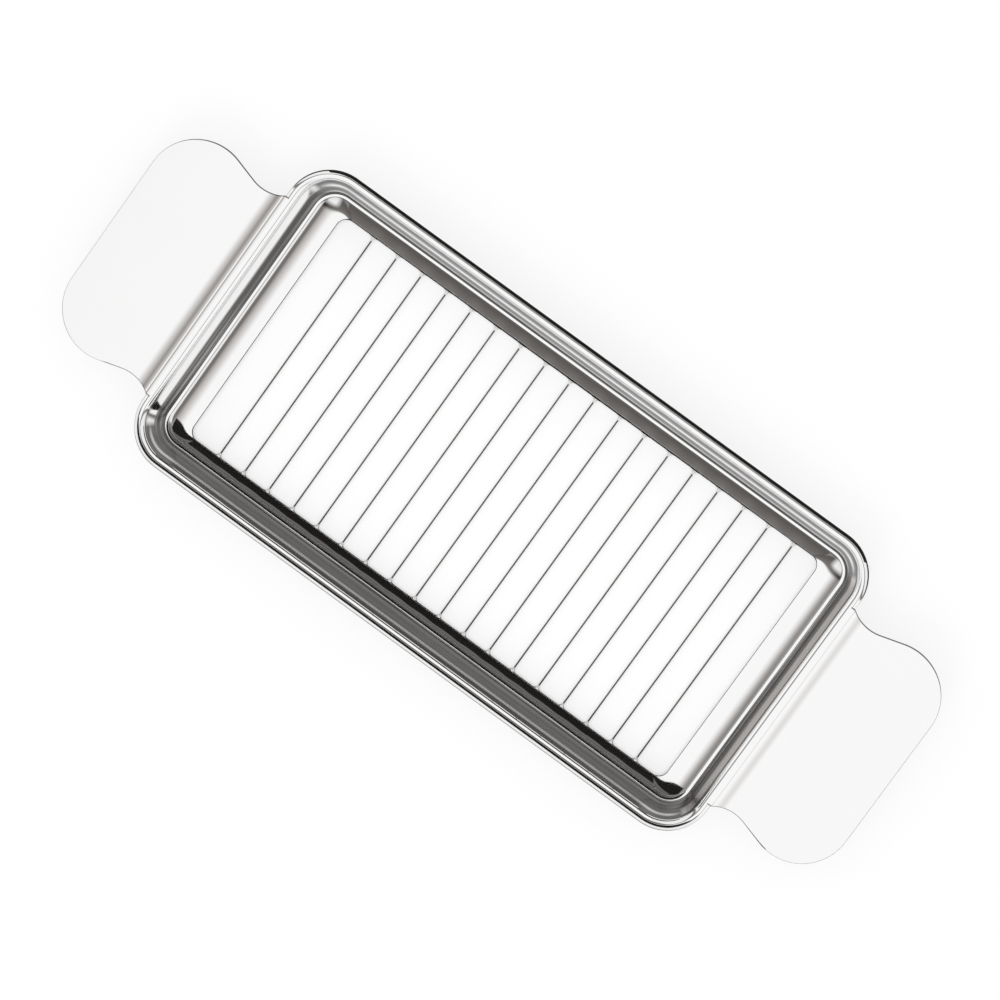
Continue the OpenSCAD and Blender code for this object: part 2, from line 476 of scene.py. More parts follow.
def flat_object(name: str, corners: list[Point3]) -> bpy.types.Object:
    """Makes an object of a single face.

    Args:
        name: name of the object.
        corners: corners of the face.

    Returns:
        The object.
    """
    work = bmesh.new()
    work.faces.new([work.verts.new(p) for p in corners])
    return object_from(work, name)


def shade(piece: bpy.types.Object, sharp_angle: float) -> None:
    """Shades a piece smooth, with edges above an angle left sharp.

    Args:
        piece: the mesh object.
        sharp_angle: the angle, in degrees.
    """
    work = bmesh.new()
    work.from_mesh(piece.data)
    limit = math.radians(sharp_angle)
    for face in work.faces:
        face.smooth = True
    for edge in work.edges:
        edge.smooth = not (len(edge.link_faces) == 2 and edge.calc_face_angle() > limit)
    work.to_mesh(piece.data)
    work.free()


def add_grid(mesh: bmesh.types.BMesh, rows: list[list[Vector]], closed: bool = False,
             cut: range = range(0)) -> None:
    """Adds a surface of four-sided faces through rows of points.

    Args:
        mesh: the mesh to add to.
        rows: rows of equal length.
        closed: whether the last row joins the first.
        cut: columns whose faces take the second material.
    """
    made = [[mesh.verts.new(p) for p in row] for row in rows]
    pairs = list(zip(made, made[1:])) + ([(made[-1], made[0])] if closed else [])
    for one, two in pairs:
        for k in range(len(one) - 1):
            mesh.faces.new((one[k], one[k + 1], two[k + 1], two[k])).material_index = int(k in cut)


@dataclass
class Plan:
    """Sizes of the slicer seen from above.

    Attributes:
        wire_count: number of wires.
        pitch: spacing of the wires.
        wire_d: diameter of a wire.
        end_gap: mean free width between the last wire and the end of the opening.
        field_shift: how far the row of wires sits towards +X.
        open_y: half width of the opening.
        opening_r: corner radius of the opening.
        side_floor: floor beside the opening, to the foot line.
        end_floor: floor beyond the opening, to the foot line.
        corner_r: corner radius of the foot line.
    """

    wire_count: int = 18
    pitch: float = 7.5 * MM
    wire_d: float = 0.4 * MM
    end_gap: float = 8.45 * MM
    field_shift: float = 0.6 * MM
    open_y: float = 33.4 * MM
    opening_r: float = 2.7 * MM
    side_floor: float = 3.7 * MM
    end_floor: float = 6.85 * MM
    corner_r: float = 5.6 * MM

    @property
    def open_x(self) -> float:
        """Half length of the opening."""
        return (self.wire_count - 1) * self.pitch / 2 + self.end_gap + self.wire_d / 2

    @property
    def foot_x(self) -> float:
        """Half length of the foot line."""
        return self.open_x + self.end_floor

    @property
    def foot_y(self) -> float:
        """Half width of the foot line."""
        return self.open_y + self.side_floor

    def wire_x(self, index: int) -> float:
        """Place of a wire along X."""
        return (index - (self.wire_count - 1) / 2) * self.pitch + self.field_shift


@dataclass
class Section:
    """Section across the pressed sheet, as offsets outwards from the foot line and heights.

    Attributes:
        sheet: thickness of the sheet.
        rim_h: height of the rim.
        wall_angle: slope of the wall, in degrees.
        half_foot: half the width of the flat foot line.
        groove_r: inside radius of the foot groove.
        floor_angle: steepest slope of the floor, in degrees.
        floor_curve_r: radius that brings the floor level.
        rim_turn_r: outer radius of the turn from wall to rim.
        rim_land: flat land before the rolled edge.
        roll_r: outer radius of the rolled edge.
        roll_turn: how far the edge rolls, in degrees.
        groove_steps: steps round the foot groove.
        turn_steps: steps round the turn to the rim.
        wall_rows: places of the rows on the straight wall, 0 to 1.
    """

    sheet: float = 0.5 * MM
    rim_h: float = 10.5 * MM
    wall_angle: float = 72.0
    half_foot: float = 0.25 * MM
    groove_r: float = 0.6 * MM
    floor_angle: float = 12.0
    floor_curve_r: float = 22.0 * MM
    rim_turn_r: float = 1.5 * MM
    rim_land: float = 0.3 * MM
    roll_r: float = 1.1 * MM
    roll_turn: float = 225.0
    groove_steps: int = 9
    turn_steps: int = 12
    wall_rows: tuple[float, ...] = (0.05, 0.5, 0.95)

    def floor_height(self, inward: float) -> float:
        """Height of the floor's upper face.

        Args:
            inward: distance from the foot line towards the opening.

        Returns:
            The height.
        """
        slope = math.radians(self.floor_angle)
        into_groove = inward - self.half_foot
        if into_groove <= 0:
            return self.sheet
        arc_width = self.groove_r * math.sin(slope)
        if into_groove < arc_width:
            return self.sheet + self.groove_r - math.sqrt(self.groove_r**2 - into_groove**2)
        base = self.sheet + self.groove_r * (1 - math.cos(slope))
        level_at = arc_width + self.floor_curve_r * math.sin(slope)
        short = max(0.0, level_at - into_groove)
        drop = self.floor_curve_r - math.sqrt(self.floor_curve_r**2 - short**2)
        return base + self.floor_curve_r * (1 - math.cos(slope)) - drop

    def wall_line(self) -> list[Point3]:
        """The upper face from the foot line out to the end of the rim's land.

        Returns:
            Offsets and heights, each with the tilt of the face there, in degrees from level.
        """
        tilt, angle = self.wall_angle, math.radians(self.wall_angle)
        line = [(0.0, self.sheet, 0.0)]
        steps = self.groove_steps
        for k, (x, z) in enumerate(
                arc((self.half_foot, self.sheet + self.groove_r), self.groove_r, 270, 270 + tilt, steps)):
            line.append((x, z, tilt * k / steps))
        foot = line[-1]
        turn_z = self.rim_h - self.rim_turn_r
        top_z = turn_z + self.rim_turn_r * math.cos(angle)
        top_x = foot[0] + (top_z - foot[1]) / math.tan(angle)
        for k in self.wall_rows:
            line.append((foot[0] + (top_x - foot[0]) * k, foot[1] + (top_z - foot[1]) * k, tilt))
        turn_x = top_x + self.rim_turn_r * math.sin(angle)
        steps = self.turn_steps
        for k, (x, z) in enumerate(arc((turn_x, turn_z), self.rim_turn_r, 90 + tilt, 90, steps)):
            line.append((x, z, tilt * (1 - k / steps)))
        line.append((turn_x + self.rim_land, self.rim_h, 0.0))
        return line

    @property
    def roll_x(self) -> float:
        """Offset of the middle of the rolled edge."""
        return self.wall_line()[-1][0]

    @property
    def rim_out(self) -> float:
        """Offset of the outermost point of the rim."""
        return self.roll_x + self.roll_r


@dataclass
class WingPlan:
    """Sizes of a wing handle.

    Attributes:
        length: from the outer edge of the rim to the tip.
        half_width: half the widest width.
        half_neck: half the width of the neck.
        neck_at: distance of the neck from the outer edge of the rim.
        lobe_r: radius of the outer corners.
        neck_r: radius of the hollow sides.
        step: how far the handle lies below the rim.
        step_at: distance of the step from the outer edge of the rim.
        bend_angle: steepest slope of the step, in degrees.
        crease: depth of the shallow crease where the rolled edge dies out.
        crease_at: its place, from the outer edge of the rim.
        crease_w: its width.
    """

    length: float = 31.5 * MM
    half_width: float = 30.7 * MM
    half_neck: float = 28.0 * MM
    neck_at: float = 5.8 * MM
    lobe_r: float = 13.2 * MM
    neck_r: float = 9.8 * MM
    step: float = 0.35 * MM
    step_at: float = -0.95 * MM
    bend_angle: float = 7.8
    crease: float = 0.02 * MM
    crease_at: float = 0.3 * MM
    crease_w: float = 0.22 * MM

    @property
    def root(self) -> float:
        """Half width where the handle meets the outer edge of the rim."""
        return self.half_neck + self.neck_r - math.sqrt(self.neck_r**2 - self.neck_at**2)

    def half_width_at(self, x: float) -> float:
        """Half width at a distance from the outer edge of the rim.

        Args:
            x: the distance.

        Returns:
            The half width.
        """
        if x <= 0:
            return self.root
        lobe_x, lobe_y = self.length - self.lobe_r, self.half_width - self.lobe_r
        neck_y = self.half_neck + self.neck_r
        gap = math.hypot(lobe_x - self.neck_at, neck_y - lobe_y)
        turn = math.atan2(neck_y - lobe_y, lobe_x - self.neck_at)
        turn += math.acos((self.lobe_r + self.neck_r) / gap)
        neck_end = self.neck_at + self.neck_r * math.cos(turn)
        lobe_start = lobe_x - self.lobe_r * math.cos(turn)
        if x < neck_end:
            return neck_y - math.sqrt(self.neck_r**2 - (x - self.neck_at)**2)
        if x > lobe_start:
            return lobe_y + math.sqrt(max(0.0, self.lobe_r**2 - (x - lobe_x)**2))
        start_y = neck_y - self.neck_r * math.sin(turn)
        end_y = lobe_y + self.lobe_r * math.sin(turn)
        return start_y + (end_y - start_y) * (x - neck_end) / (lobe_start - neck_end)

    def drop(self, x: float) -> tuple[float, float]:
        """How far the upper face lies below the rim.

        Args:
            x: distance from the outer edge of the rim.

        Returns:
            The drop, and the slope there in degrees.
        """
        steepest = math.radians(self.bend_angle)
        bend_r = self.step / 2 / (1 - math.cos(steepest))
        run = bend_r * math.sin(steepest)
        start, middle, end = self.step_at, self.step_at + run, self.step_at + 2 * run
        off = (x - self.crease_at) / self.crease_w
        crease = self.crease * math.exp(-off * off)
        slope, drop = 0.0, 0.0 if x <= start else self.step
        if start < x <= middle:
            slope = math.asin((x - start) / bend_r)
            drop = bend_r * (1 - math.cos(slope))
        elif middle < x <= end:
            slope = math.asin((end - x) / bend_r)
            drop = self.step - bend_r * (1 - math.cos(slope))
        return drop + crease, math.degrees(slope + math.atan(-2 * off * crease / self.crease_w))


@dataclass
class PressedSheet:
    """The tray, its rim and both wing handles: one pressed sheet.

    Attributes:
        plan: sizes from above.
        section: section across the sheet.
        wing: sizes of a wing handle.
        finish: finish of the metal.
        edge_finish_painted_dark: finish of the opening's edge and the handles' edges, rougher metal painted
            near-black as shade.
        floor_steps: steps across the floor.
        long_steps: steps along a long side.
        corner_steps: steps round a corner.
        handle_steps: steps across a handle.
        edge_row: place of the extra row near each edge of a handle, from 0 in the middle to 1.
        along_steps: steps along a handle, for its start, its step, its middle and its tip.
        start_end: where the start ends, from the outer edge of the rim.
        right_bend: steepest slope of the step at +X, in degrees.
        bunching: how much closer the floor's rows lie towards the foot line.
        edge_round: radius of the opening's broken edge.
        round_steps: steps round that edge.
        end_share: its radius at the opening's ends, as a share of that on the long sides.
        end_power: how quickly the radius drops in the corners.
        round_gap: distance from that edge to the next row of the floor.
        dimple: how far the floor is pulled down beside each wire.
        front_share: the same on the -Y side, as a share.
        dimple_r: how far that reaches round the wire.
        cut_round: radius of the handles' broken edge.
        cut_steps: steps round that edge.
    """

    plan: Plan
    section: Section
    wing: WingPlan
    finish: MetalFinish = MIRROR_SHEET
    edge_finish_painted_dark: MetalFinish = EDGE_METAL_PAINTED_DARK
    floor_steps: int = 20
    long_steps: int = 350
    corner_steps: int = 26
    handle_steps: int = 28
    edge_row: float = 0.985
    along_steps: tuple[int, int, int, int] = (26, 10, 24, 24)
    start_end: float = 1.2 * MM
    right_bend: float = 6.5
    bunching: float = 1.35
    edge_round: float = 0.45 * MM
    round_steps: int = 4
    end_share: float = 0.27
    end_power: int = 6
    round_gap: float = 0.05 * MM
    dimple: float = 0.07 * MM
    front_share: float = 0.3
    dimple_r: float = 1.7 * MM
    cut_round: float = 0.07 * MM
    cut_steps: int = 5

    def stations(self) -> list[Station]:
        """Points round the foot line, counter-clockwise from the +X side.

        Returns:
            For each station the point on the foot line, the outward direction, and the
            point on the edge of the opening.
        """
        p = self.plan
        cx, cy = p.foot_x - p.corner_r, p.foot_y - p.corner_r
        ox, oy = p.open_x - p.opening_r, p.open_y - p.opening_r
        right, back = Vector((1, 0, 0)), Vector((0, 1, 0))
        sides = [(Vector((p.foot_x, y, 0)), right, Vector((p.open_x, y * oy / cy, 0)))
                 for y in self.side_rows(cy)[:-1]]
        xs = [cx - 2 * cx * k / self.long_steps for k in range(self.long_steps)]
        longs = [(Vector((x, p.foot_y, 0)), back, Vector((x * ox / cx, p.open_y, 0))) for x in xs]
        half_round = sides + self.corner(1) + longs + self.corner(-1)
        return half_round + [tuple(Vector((-v.x, -v.y, 0)) for v in station) for station in half_round]

    def corner(self, side: int) -> list[Station]:
        """Stations round a corner on the +Y side.

        Args:
            side: 1 for the corner at +X, -1 for the other.

        Returns:
            The stations, counter-clockwise.
        """
        p = self.plan
        foot = Vector((side * (p.foot_x - p.corner_r), p.foot_y - p.corner_r, 0))
        opening = Vector((side * (p.open_x - p.opening_r), p.open_y - p.opening_r, 0))
        found = []
        for k in range(self.corner_steps):
            a = math.pi / 2 * ((side < 0) + k / self.corner_steps)
            out = Vector((math.cos(a), math.sin(a), 0))
            found.append((foot + p.corner_r * out, out, opening + p.opening_r * out))
        return found

    def side_rows(self, cy: float) -> list[float]:
        """Stations along a short side: the handle's rows, then up to the corners."""
        root = self.wing.root
        return [-cy] + [root * s for s in self.handle_across] + [cy]

    @property
    def handle_across(self) -> list[float]:
        """Places of the rows across a handle, from -1 to 1, with a close pair at each edge."""
        even = [2 * k / self.handle_steps - 1 for k in range(1, self.handle_steps)]
        return [-1.0, -self.edge_row, *even, self.edge_row, 1.0]

    def floor_point(self, foot: Vector, out: Vector, edge: Vector, share: float) -> tuple[Vector, float]:
        """A point of the floor's upper face.

        Args:
            foot: point on the foot line.
            out: outward direction there.
            edge: point on the edge of the opening.
            share: how far it lies from the foot line to the edge, 0 to 1.

        Returns:
            The point and the slope there, in degrees, rising inwards.
        """
        flat = foot.lerp(edge, share)
        inward = (foot - edge).dot(out) * share
        height = self.section.floor_height(inward)
        slope = math.atan((self.section.floor_height(inward + NUDGE) - height) / NUDGE)
        return Vector((flat.x, flat.y, height - self.dimple_at(flat))), math.degrees(slope)

    def dimple_at(self, flat: Vector) -> float:
        """How far the pull of the nearest wire draws the floor down.

        Args:
            flat: the place in plan.

        Returns:
            The depth.
        """
        p = self.plan
        index = round((flat.x - p.field_shift) / p.pitch + (p.wire_count - 1) / 2)
        index = min(max(index, 0), p.wire_count - 1)
        away = math.hypot(flat.x - p.wire_x(index), abs(flat.y) - p.open_y)
        depth = self.dimple if flat.y > 0 else self.dimple * self.front_share
        return depth * math.exp(-(away / self.dimple_r)**2)

    def shell_row(self, station: Station) -> list[Vector]:
        """The sheet's section at one station: lower face, opening edge, upper face.

        Args:
            station: as stations() gives it.

        Returns:
            Points from the rim's lower face, round the edge of the opening, to its upper face.
        """
        foot, out, edge = station
        upper: list[tuple[Vector, float]] = []
        r = self.edge_round * (self.end_share + (1 - self.end_share) * max(0.0, out.y)**self.end_power)
        wide = (edge - foot).length
        beside = self.floor_point(foot, out, edge, 1 - r / wide)[0].z
        steps = self.floor_steps - 1
        widest = 1 - (r + self.round_gap) / wide
        for share in [1.0] + [widest * (k / steps)**self.bunching for k in range(steps, 0, -1)]:
            upper.append(self.floor_point(foot, out, edge, share))
        for offset, height, tilt in self.section.wall_line():
            upper.append((foot + out * offset + Vector((0, 0, height)), -tilt))
        lower = []
        for place, slope in upper:
            a = math.radians(slope)
            lower.append(place - (out * math.sin(a) + Vector((0, 0, math.cos(a)))) * self.section.sheet)
        first, last = upper[0][0], lower[0]
        inside = (edge - foot).normalized()
        rounded = []
        for k in range(self.round_steps + 1):
            a = math.pi / 2 * k / self.round_steps
            rounded.append(Vector((first.x, first.y, first.z)) - inside * r * (1 - math.sin(a))
                           - Vector((0, 0, r * (1 - math.cos(a)) - (beside - first.z) * (1 - math.sin(a)))))
        base = Vector((first.x, first.y, last.z))
        return list(reversed(lower)) + [base] + list(reversed(rounded)) + [p for p, _ in upper[1:]]

    def build(self) -> bpy.types.Object:
        """Builds the sheet as one closed mesh.

        Returns:
            The finished object.
        """
        work = bmesh.new()
        stations = self.stations()
        rows = [self.shell_row(s) for s in stations]
        cut = self.round_steps + 1
        before = (len(rows[0]) - cut) // 2
        add_grid(work, rows, closed=True, cut=range(before, before + cut))
        for one, two in zip(rows, rows[1:] + rows[:1]):
            middle = (one[-1] + two[-1]) / 2
            if abs(middle.y) > self.wing.root or abs(middle.x) < self.plan.foot_x:
                work.faces.new([work.verts.new(p) for p in (one[-1], one[0], two[0], two[-1])])
        self.add_handle(work, 1, replace(self.wing, bend_angle=self.right_bend))
        self.add_handle(work, -1, self.wing)
        sheet = object_from(work, "pressed_sheet")
        shade(sheet, sharp_angle=35.0)
        sheet.data.materials.append(self.finish.material())
        sheet.data.materials.append(self.edge_finish_painted_dark.material())
        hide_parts("frame")
        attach(sheet, ROOT)
        return sheet

    def add_handle(self, work: bmesh.types.BMesh, side: int, wing: WingPlan) -> None:
        """Adds one wing handle to the sheet.

        Args:
            work: the sheet's mesh.
            side: 1 for the handle at +X, -1 for the other.
            wing: its sizes.
        """
        section = self.section
        rim_x = self.plan.foot_x + section.rim_out
        start = section.roll_x - section.rim_out
        first, bend, middle, tip = self.along_steps
        stops = [start + (self.start_end - start) * k / first for k in range(first + 1)]
        end_bend = wing.step_at + wing.step / math.tan(math.radians(wing.bend_angle) / 2)
        stops += [stops[-1] + (end_bend - stops[-1]) * k / bend for k in range(1, bend + 1)]
        lobe_x = wing.length - wing.lobe_r
        stops += [end_bend + (lobe_x - end_bend) * k / middle for k in range(1, middle + 1)]
        stops += [lobe_x + wing.lobe_r * math.sin(math.pi / 2 * k / tip) for k in range(1, tip + 1)]
        across = self.handle_across
        upper, lower, sides = [], [], []
        for x in stops:
            half = wing.half_width_at(x)
            drop, slope = wing.drop(x)
            a = math.radians(slope)
            low_x, low_drop = x - section.sheet * math.sin(a), drop + section.sheet * math.cos(a)
            upper.append([Vector((x, half * s, section.rim_h - drop)) for s in across])
            lower.append([Vector((low_x, half * s, section.rim_h - low_drop)) for s in across])
            turn = math.atan2(wing.half_width_at(x + NUDGE) - wing.half_width_at(x - NUDGE), 2 * NUDGE)
            sides.append(Vector((-math.sin(turn), math.cos(turn), 0)))
        sides[-1] = Vector((1, 0, 0))
        rim = [(up[0], low[0], Vector((out.x, -out.y, 0))) for up, low, out in zip(upper, lower, sides)]
        rim += [(upper[-1][j], lower[-1][j], Vector((1, 0, 0))) for j in range(1, len(across) - 1)]
        rim += [(up[-1], low[-1], out) for up, low, out in reversed(list(zip(upper, lower, sides)))]
        rounding = []
        for place, under, out in rim:
            ring = []
            for k in range(self.cut_steps + 1):
                a = math.pi / 2 * k / self.cut_steps
                ring.append(place - out * self.cut_round * (1 - math.sin(a))
                            - Vector((0, 0, self.cut_round * (1 - math.cos(a)))))
            rounding.append(ring + [under])
        last = len(across) - 1
        starts = [ring[0] for ring in rounding]
        for k in range(len(stops)):
            upper[k][0], upper[k][last] = starts[k], starts[-1 - k]
        for j in range(1, last):
            upper[-1][j] = starts[len(stops) - 1 + j]
        move = Matrix.Diagonal((side, 1, 1))
        shift = Vector((side * rim_x, 0, 0))
        for rows, cut in ((upper, range(0)), (lower, range(0)), (rounding, range(self.cut_steps + 1))):
            add_grid(work, [[move @ p + shift for p in row] for row in rows], cut=cut)


@dataclass
class RolledEdge:
    """The rolled edge of the rim, in two lengths that end at the handles.

    Attributes:
        plan: sizes from above.
        section: section across the sheet.
        wing: sizes of a wing handle.
        finish: finish of the metal.
        arc_points: points round the roll.
        steps: steps round each corner and along the side.
    """

    plan: Plan
    section: Section
    wing: WingPlan
    finish: MetalFinish = MIRROR_SHEET
    arc_points: int = 40
    steps: int = 40

    def path(self, half_turn: int) -> list[Vector]:
        """Middle line of one length of the roll, counter-clockwise.

        Args:
            half_turn: 0 for the length on the +Y side, 1 for the other.

        Returns:
            Its points.
        """
        p, s = self.plan, self.section
        cx, cy = p.foot_x - p.corner_r, p.foot_y - p.corner_r
        radius, z = p.corner_r + s.roll_x, s.rim_h - s.roll_r
        points = [(cx + radius, self.wing.root)]
        points += arc((cx, cy), radius, 0, 90, self.steps)
        points += [(cx - 2 * cx * k / self.steps, cy + radius) for k in range(1, self.steps)]
        points += arc((-cx, cy), radius, 90, 180, self.steps)
        points += [(-cx - radius, self.wing.root)]
        sign = -1 if half_turn else 1
        return [Vector((sign * x, sign * y, z)) for x, y in points]

    def sweep_tree(self, metal: bpy.types.Material) -> bpy.types.NodeTree:
        """The node tree that sweeps an arc along a curve.

        Args:
            metal: material of the result.

        Returns:
            The tree, with inputs Roll Radius, Start Angle and Roll Turn.
        """
        names = ("Roll Radius", "Start Angle", "Roll Turn")
        wiring, given = growth_tree("roll_along_rim", dict.fromkeys(names, "NodeSocketFloat"))
        upright = wiring.add("GeometryNodeSetCurveNormal", {"Curve": given["Geometry"]}, mode="Z_UP")
        bend = wiring.add("GeometryNodeCurveArc", {
            "Resolution": self.arc_points, "Radius": given["Roll Radius"],
            "Start Angle": given["Start Angle"], "Sweep Angle": given["Roll Turn"]})
        sweep = wiring.add("GeometryNodeCurveToMesh", {
            "Curve": upright.outputs["Curve"], "Profile Curve": bend.outputs["Curve"]})
        wiring.end_growth(sweep.outputs["Mesh"], metal)
        return wiring.tree

    def build(self) -> bpy.types.Object:
        """Sweeps both lengths and gives the roll its wall.

        Returns:
            The finished object.
        """
        s = self.section
        curve = bpy.data.curves.new("roll_path", "CURVE")
        curve.dimensions = "3D"
        for half_turn in (0, 1):
            points = self.path(half_turn)
            spline = curve.splines.new("POLY")
            spline.points.add(len(points) - 1)
            for made, place in zip(spline.points, points):
                made.co = (*place, 1.0)
        carrier = placed("roll_path", curve)
        metal = self.finish.material()
        turn = math.radians(s.roll_turn)
        sizes = {"Roll Radius": s.roll_r, "Start Angle": math.radians(-90), "Roll Turn": turn}
        swept = grown(carrier, self.sweep_tree(metal), sizes, "rolled_edge")
        wall = swept.modifiers.new("wall", "SOLIDIFY")
        wall.thickness = s.sheet
        wall.offset = -1.0
        made = baked(swept, "rolled_edge")
        shade(made, sharp_angle=50.0)
        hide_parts("frame")
        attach(made, ROOT)
        return made


def grown(carrier: bpy.types.Object, tree: bpy.types.NodeTree, sizes: dict[str, float],
          name: str) -> bpy.types.Object:
    """Runs a node tree on an object and keeps the result as a plain mesh.

    Args:
        carrier: the object that the tree works on, which is deleted.
        tree: the tree.
        sizes: values of its named inputs.
        name: name of the result.

    Returns:
        A mesh object at the origin.
    """
    run = carrier.modifiers.new("grow", "NODES")
    run.node_group = tree
    for item in tree.interface.items_tree:
        if item.item_type == "SOCKET" and item.in_out == "INPUT" and item.name in sizes:
            run[item.identifier] = sizes[item.name]
    return baked(carrier, name)


def baked(source: bpy.types.Object, name: str) -> bpy.types.Object:
    """Turns an object with its modifiers into a plain mesh object and deletes the source.

    Args:
        source: the object.
        name: name of the result.

    Returns:
        The new object, welded and with its faces outwards.
    """
    bpy.context.view_layer.update()
    graph = bpy.context.evaluated_depsgraph_get()
    data = bpy.data.meshes.new_from_object(source.evaluated_get(graph))
    bpy.data.objects.remove(source)
    work = bmesh.new()
    work.from_mesh(data)
    weld(work)
    work.to_mesh(data)
    work.free()
    data.name = name
    return placed(name, data)


@dataclass
class WireJoints:
    """The bright fillets that join the wires to the edge of the floor.

    Attributes:
        plan: sizes from above.
        section: section across the sheet.
        radius: radius of a fillet's hollow sides.
        tip: height of its tip, in radii of the wire.
        sink: how its height drops towards the tip, as a power.
        roundness: how far its top falls off to the sides, 0 to 1.
        finish: finish of the metal.
    """

    plan: Plan
    section: Section
    radius: float = 1.1 * MM
    tip: float = 1.1
    sink: float = 0.6
    roundness: float = 0.85
    finish: MetalFinish = FUSED_METAL

    @property
    def top(self) -> float:
        """Height of the floor's upper face at its long edges."""
        return self.section.floor_height(self.plan.side_floor)

    def fillet(self) -> bpy.types.Object:
        """One fillet at the origin, its wide end at Y = 0 and its tip towards +Y.

        Returns:
            The object.
        """
        steps, across = 14, 12
        wire_r = self.plan.wire_d / 2
        rows = []
        for k in range(steps + 1):
            y = self.radius * k / steps
            half = wire_r + self.radius - math.sqrt(self.radius**2 - (self.radius - y)**2)
            crown = self.section.sheet - (self.section.sheet - self.tip * wire_r) * (k / steps)**self.sink
            ring = []
            for j in range(across + 1):
                s = 2 * j / across - 1
                ring.append(Vector((half * s, y, crown * math.sqrt(max(0.0, 1 - self.roundness * s * s)))))
            ring += [Vector((half, y, 0)), Vector((-half, y, 0)), ring[0]]
            rows.append(ring)
        work = bmesh.new()
        add_grid(work, rows)
        for ring in (rows[0], rows[-1]):
            work.faces.new([work.verts.new(p) for p in ring[:-1]])
        made = object_from(work, "fillet")
        shade(made, sharp_angle=60.0)
        return made

    def row_tree(self, fillet: bpy.types.Object, metal: bpy.types.Material) -> bpy.types.NodeTree:
        """The node tree that sets a fillet at each wire.

        Args:
            fillet: the object to repeat.
            metal: its material.

        Returns:
            The tree, with inputs for the number, pitch and place of the wires and the turn.
        """
        names = ("Wire Pitch", "First X", "Edge Y", "Base Z", "Turn")
        wiring, given = growth_tree(
            "row_of_fillets", {"Wire Count": "NodeSocketInt", **dict.fromkeys(names, "NodeSocketFloat")})
        step = wiring.add("ShaderNodeCombineXYZ", {"X": given["Wire Pitch"]})
        first = wiring.add("ShaderNodeCombineXYZ", {
            "X": given["First X"], "Y": given["Edge Y"], "Z": given["Base Z"]})
        turn = wiring.add("ShaderNodeCombineXYZ", {"Z": given["Turn"]})
        row = wiring.add("GeometryNodeMeshLine", {
            "Count": given["Wire Count"], "Offset": step.outputs["Vector"],
            "Start Location": first.outputs["Vector"]})
        source = wiring.add("GeometryNodeObjectInfo", {"Object": fillet})
        put = wiring.add("GeometryNodeInstanceOnPoints", {
            "Points": row.outputs["Mesh"], "Instance": source.outputs["Geometry"],
            "Rotation": turn.outputs["Vector"]})
        wiring.end_growth(put.outputs["Instances"], metal)
        return wiring.tree

    def build(self) -> list[bpy.types.Object]:
        """Builds the two rows of fillets.

        Returns:
            The row on the -Y side, then the row on the +Y side.
        """
        metal = self.finish.material()
        fillet = self.fillet()
        tree = self.row_tree(fillet, metal)
        rows = []
        for name, side in (("wire_joints_front", -1), ("wire_joints_back", 1)):
            carrier = placed(name + "_row", bpy.data.meshes.new(name + "_row"))
            sizes = {
                "Wire Count": self.plan.wire_count,
                "Wire Pitch": self.plan.pitch,
                "First X": self.plan.wire_x(0),
                "Edge Y": side * self.plan.open_y,
                "Base Z": self.top - self.section.sheet,
                "Turn": math.pi if side > 0 else 0.0,
            }
            made = grown(carrier, tree, sizes, name + "_fillets")
            shade(made, sharp_angle=60.0)
            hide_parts(name)
            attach(made, ROOT)
            rows.append(made)
        bpy.data.objects.remove(fillet)
        return rows


@dataclass
class CuttingWires:
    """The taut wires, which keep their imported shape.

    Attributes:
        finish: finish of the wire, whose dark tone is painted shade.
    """

    finish: MetalFinish = WIRE_PAINTED_DARK

    def dress(self, nodes: dict[str, bpy.types.Object]) -> int:
        """Gives every wire its finish.

        Args:
            nodes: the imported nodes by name.

        Returns:
            How many wires were dressed.
        """
        metal = self.finish.material()
        wires = [node for name, node in nodes.items() if name.startswith("wire_") and "joints" not in name]
        for wire in wires:
            wire.data.materials.clear()
            wire.data.materials.append(metal)
        return len(wires)


@dataclass(frozen=True)
class Card:
    """A card close to the slicer, which only the mirrors see.

    Attributes:
        name: its name.
        grey: its tone.
        y: places of its two long edges along Y.
        z: heights of those edges.
        half_length: half its length along X.
    """

    name: str
    grey: float
    y: Point2
    z: Point2
    half_length: float = 105 * MM

    def hang(self) -> None:
        """Hangs the card."""
        (near, far), (low, high), half = self.y, self.z, self.half_length
        corners = [(-half, near, low), (half, near, low), (half, far, high), (-half, far, high)]
        made = flat_object(self.name, corners)
        paint, wiring = bare_material(self.name)
        tone = tuple(self.grey * part for part in CARD_TINT)
        glow = wiring.add("ShaderNodeEmission", {"Color": tone})
        wiring.add("ShaderNodeOutputMaterial", {"Surface": glow.outputs["Emission"]})
        made.data.materials.append(paint)
        made.visible_camera = False
        made.visible_diffuse = False
        made.visible_shadow = False


CARDS = (
    Card("side_card", 0.015, (66 * MM, 66 * MM), (0.0, 50 * MM)),
    Card("black_card", 0.012, (-45 * MM, -68 * MM), (70 * MM, 70 * MM)),
    Card("grey_card", 0.14, (-68 * MM, -80 * MM), (70 * MM, 70 * MM)))


